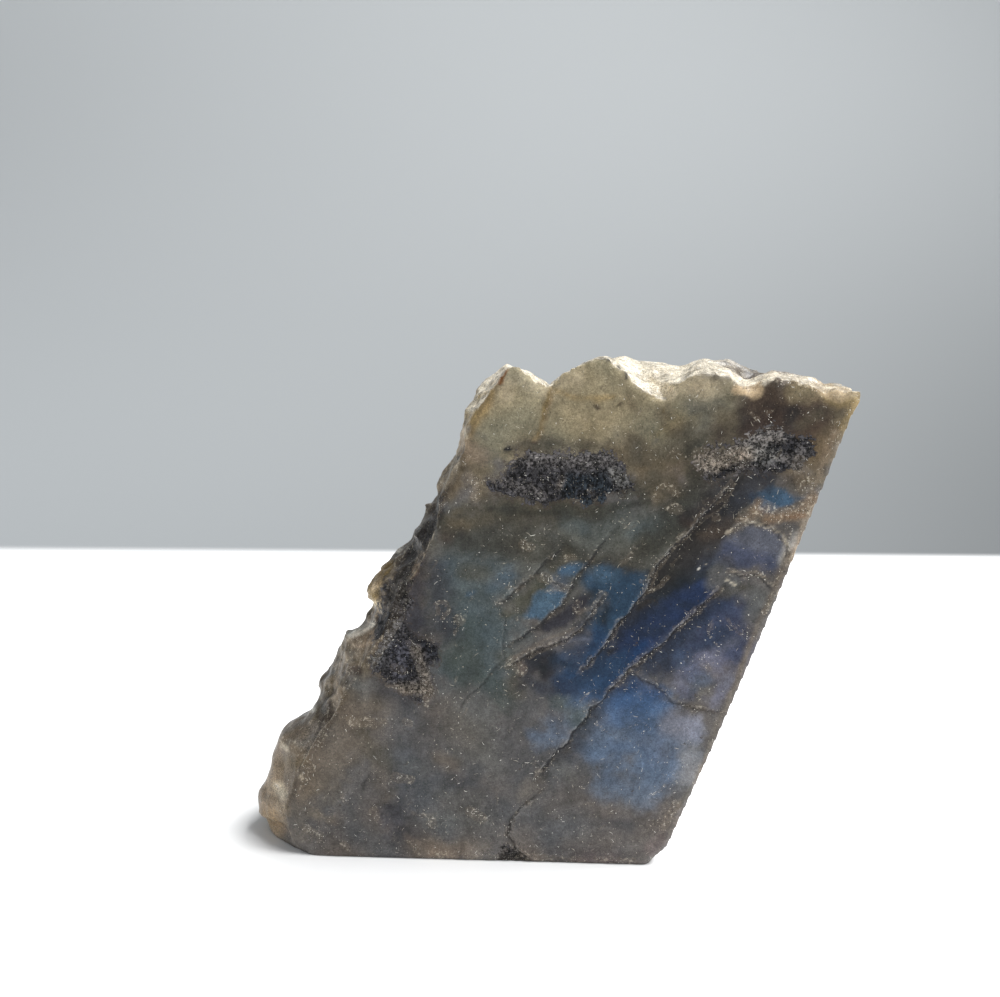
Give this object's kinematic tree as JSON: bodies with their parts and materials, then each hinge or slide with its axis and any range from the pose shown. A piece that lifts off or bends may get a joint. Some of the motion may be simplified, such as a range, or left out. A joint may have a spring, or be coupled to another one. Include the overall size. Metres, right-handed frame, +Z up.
{
  "type": "rough labradorite chunk",
  "caption": "Rough labradorite chunk that stands on its flat underside: sawn front and right end, broken top, left end and back, blue flash on the front.",
  "frame": {"origin": "middle of the bottom of the bounding box, on the plane of the sawn underside", "axes": "+Z up, +X to the right along the sawn front, +Y from the sawn front to the broken back"},
  "size_m": [0.0796, 0.0276, 0.0703],
  "materials": {
    "labradorite": "sawn and broken grey-green feldspar with dark mineral patches and a blue flash"
  },
  "bodies": {
    "root": {"labradorite_chunk": "labradorite"}
  },
  "joints": []
}
